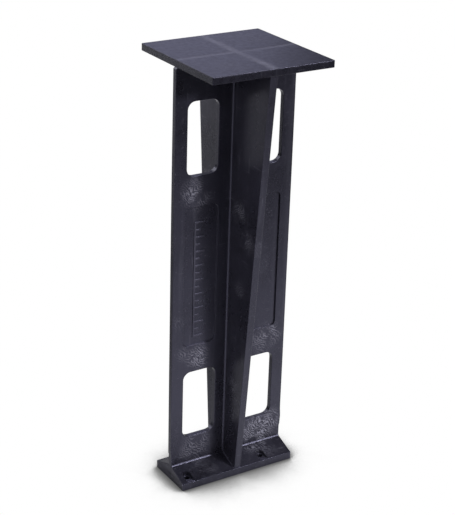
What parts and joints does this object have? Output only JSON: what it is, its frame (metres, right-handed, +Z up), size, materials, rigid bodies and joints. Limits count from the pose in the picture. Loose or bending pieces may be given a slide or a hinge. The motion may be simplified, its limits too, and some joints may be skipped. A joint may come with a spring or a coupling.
{
  "type": "raised floor support leg",
  "caption": "One-piece moulded support leg: square load plate on a tapered cruciform column with windows, on a narrow screw-down foot.",
  "frame": {"origin": "centre of the foot's underside", "axes": "+Z up through the column to the load plate, +X along the web and the long side of the foot, -Y the face with the tick relief"},
  "size_m": [0.09, 0.0882, 0.3],
  "materials": {
    "moulding": "satin black recycled plastic with faint flow marks"
  },
  "bodies": {
    "root": {"load_plate": "moulding", "web_left": "moulding", "web_right": "moulding", "fin_front": "moulding", "fin_rear": "moulding", "foot_slab": "moulding", "shoulder_front_left": "moulding", "shoulder_front_right": "moulding", "shoulder_rear_left": "moulding", "shoulder_rear_right": "moulding", "tick_relief": "moulding"}
  },
  "joints": []
}
